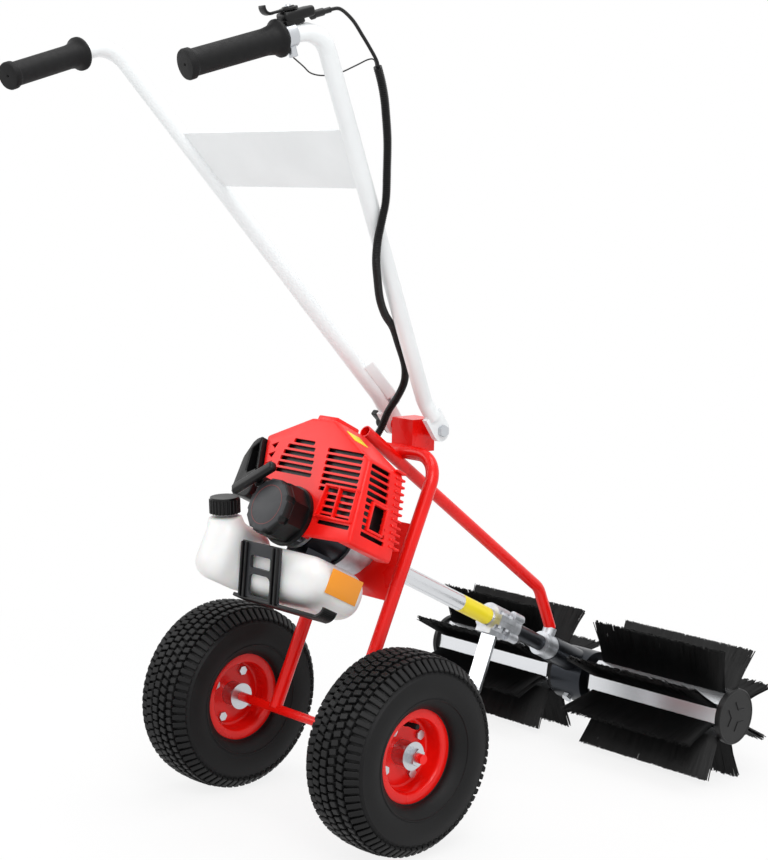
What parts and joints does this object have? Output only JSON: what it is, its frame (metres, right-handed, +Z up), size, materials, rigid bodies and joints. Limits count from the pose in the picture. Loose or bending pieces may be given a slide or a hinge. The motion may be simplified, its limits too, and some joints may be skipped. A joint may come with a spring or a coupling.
{
  "type": "power brush sweeper",
  "caption": "Walk-behind petrol sweeper with two wheels, a folding handle, a small engine and a cross brush driven through a sloping tube shaft.",
  "frame": {"origin": "on the ground, at the middle of the machine's length and width", "axes": "+X to the right wheel as the user walks, +Y forward to the brush, +Z up"},
  "size_m": [0.6, 1.0488, 1.0724],
  "materials": {
    "red_paint": "gloss",
    "dark_red_paint": "satin",
    "white_paint": "gloss",
    "red_plastic": "gloss",
    "black_plastic": "satin",
    "tank_plastic": "satin",
    "black_rubber": "matte",
    "tyre_rubber": "matte",
    "bristle": "matte",
    "tube_aluminium": "brushed",
    "cast_aluminium": "cast",
    "zinc_steel": "satin",
    "dark_steel": "satin",
    "gear_bronze": "satin",
    "dark_cast": "cast",
    "plug_ceramic": "gloss"
  },
  "bodies": {
    "frame": {"frame_tube": "red_paint", "engine_plate": "dark_red_paint", "brace_tube": "red_paint", "brace_clamp": "cast_aluminium", "pivot_bracket": "red_paint", "pivot_bolt": "zinc_steel", "axle": "red_paint", "axle_nuts": "zinc_steel", "support_leg": "tube_aluminium", "tube_clamp": "cast_aluminium", "neck_flange": "cast_aluminium", "frame_screws": "zinc_steel", "drive_tube": "tube_aluminium", "bearings": "zinc_steel", "neck_sleeve": "dark_steel", "gearbox_housing": "dark_cast", "gearbox_covers": "cast_aluminium", "clutch_housing": "cast_aluminium", "crankcase": "cast_aluminium", "cylinder": "cast_aluminium", "shroud": "red_plastic", "starter_housing": "black_plastic", "air_filter_box": "black_plastic", "carburettor": "cast_aluminium", "muffler": "dark_steel", "spark_plug": "plug_ceramic", "fuel_tank": "tank_plastic", "tank_guard": "black_plastic"},
    "drive_shaft": {"drive_shaft": "zinc_steel", "clutch_drum": "zinc_steel"},
    "crank": {"crankshaft": "zinc_steel", "flywheel": "cast_aluminium"},
    "brush": {"worm_wheel": "gear_bronze", "brush_axle": "zinc_steel", "brush_cores": "tube_aluminium", "bristles_left": "bristle", "bristles_right": "bristle", "brush_end_caps": "black_plastic", "brush_collars": "black_plastic"},
    "starter_handle": {"starter_handle": "black_plastic"},
    "tank_cap": {"tank_cap": "black_plastic"},
    "handle": {"arm_left": "white_paint", "arm_right": "white_paint", "cross_panel": "white_paint", "grip_left": "black_rubber", "grip_right": "black_rubber", "throttle_housing": "black_plastic", "control_cables": "black_rubber", "cable_conduit": "black_rubber"},
    "throttle_lever": {"throttle_lever": "black_plastic"},
    "lock_knob": {"lock_knob": "black_plastic"},
    "left_wheel": {"tyre_left": "tyre_rubber", "rim_left": "red_paint", "hub_left": "zinc_steel", "rim_bolts_left": "zinc_steel"},
    "right_wheel": {"tyre_right": "tyre_rubber", "rim_right": "red_paint", "hub_right": "zinc_steel", "rim_bolts_right": "zinc_steel"}
  },
  "joints": [
    {"name": "left_wheel_spin", "type": "hinge", "parent": "frame", "child": "left_wheel", "pos_m": [-0.1785, -0.15568, 0.135], "axis": [1, 0, 0], "continuous": true},
    {"name": "right_wheel_spin", "type": "hinge", "parent": "frame", "child": "right_wheel", "pos_m": [0.1785, -0.15568, 0.135], "axis": [1, 0, 0], "continuous": true},
    {"name": "brush_spin", "type": "hinge", "parent": "frame", "child": "brush", "pos_m": [0, 0.42218, 0.10218], "axis": [1, 0, 0], "continuous": true},
    {"name": "drive_shaft_spin", "type": "hinge", "parent": "frame", "child": "drive_shaft", "pos_m": [0, -0.15568, 0.40451], "axis": [0, 0.8965, -0.4431], "continuous": true},
    {"name": "crank_spin", "type": "hinge", "parent": "frame", "child": "crank", "pos_m": [0, -0.15568, 0.40451], "axis": [0, 0.8965, -0.4431], "continuous": true},
    {"name": "handle_fold", "type": "hinge", "parent": "frame", "child": "handle", "pos_m": [0, 0.03432, 0.531], "axis": [-1, 0, 0], "range_deg": [0, 110], "deforming": ["cable_conduit"]},
    {"name": "throttle_push", "type": "hinge", "parent": "handle", "child": "throttle_lever", "pos_m": [0.20522, -0.3885, 1.06278], "axis": [0.0465, 0.2937, -0.9548], "range_deg": [0, 40], "stiffness_Nm_per_rad": 0.3},
    {"name": "tank_cap_turn", "type": "hinge", "parent": "frame", "child": "tank_cap", "pos_m": [-0.084, -0.24341, 0.41886], "axis": [0, -0.0645, 0.9979], "range_deg": [0, 360]},
    {"name": "starter_pull", "type": "slide", "parent": "frame", "child": "starter_handle", "axis": [0, -0.8965, 0.4431], "range_m": [0, 0.45], "stiffness_N_per_m": 20, "springref_m": -0.1},
    {"name": "lock_knob_turn", "type": "hinge", "parent": "frame", "child": "lock_knob", "pos_m": [0, 0.03432, 0.531], "axis": [-1, 0, 0], "range_deg": [0, 360]}
  ],
  "couplings": [
    {"joint": "drive_shaft_spin", "follows": "brush_spin", "ratio": 16}
  ]
}
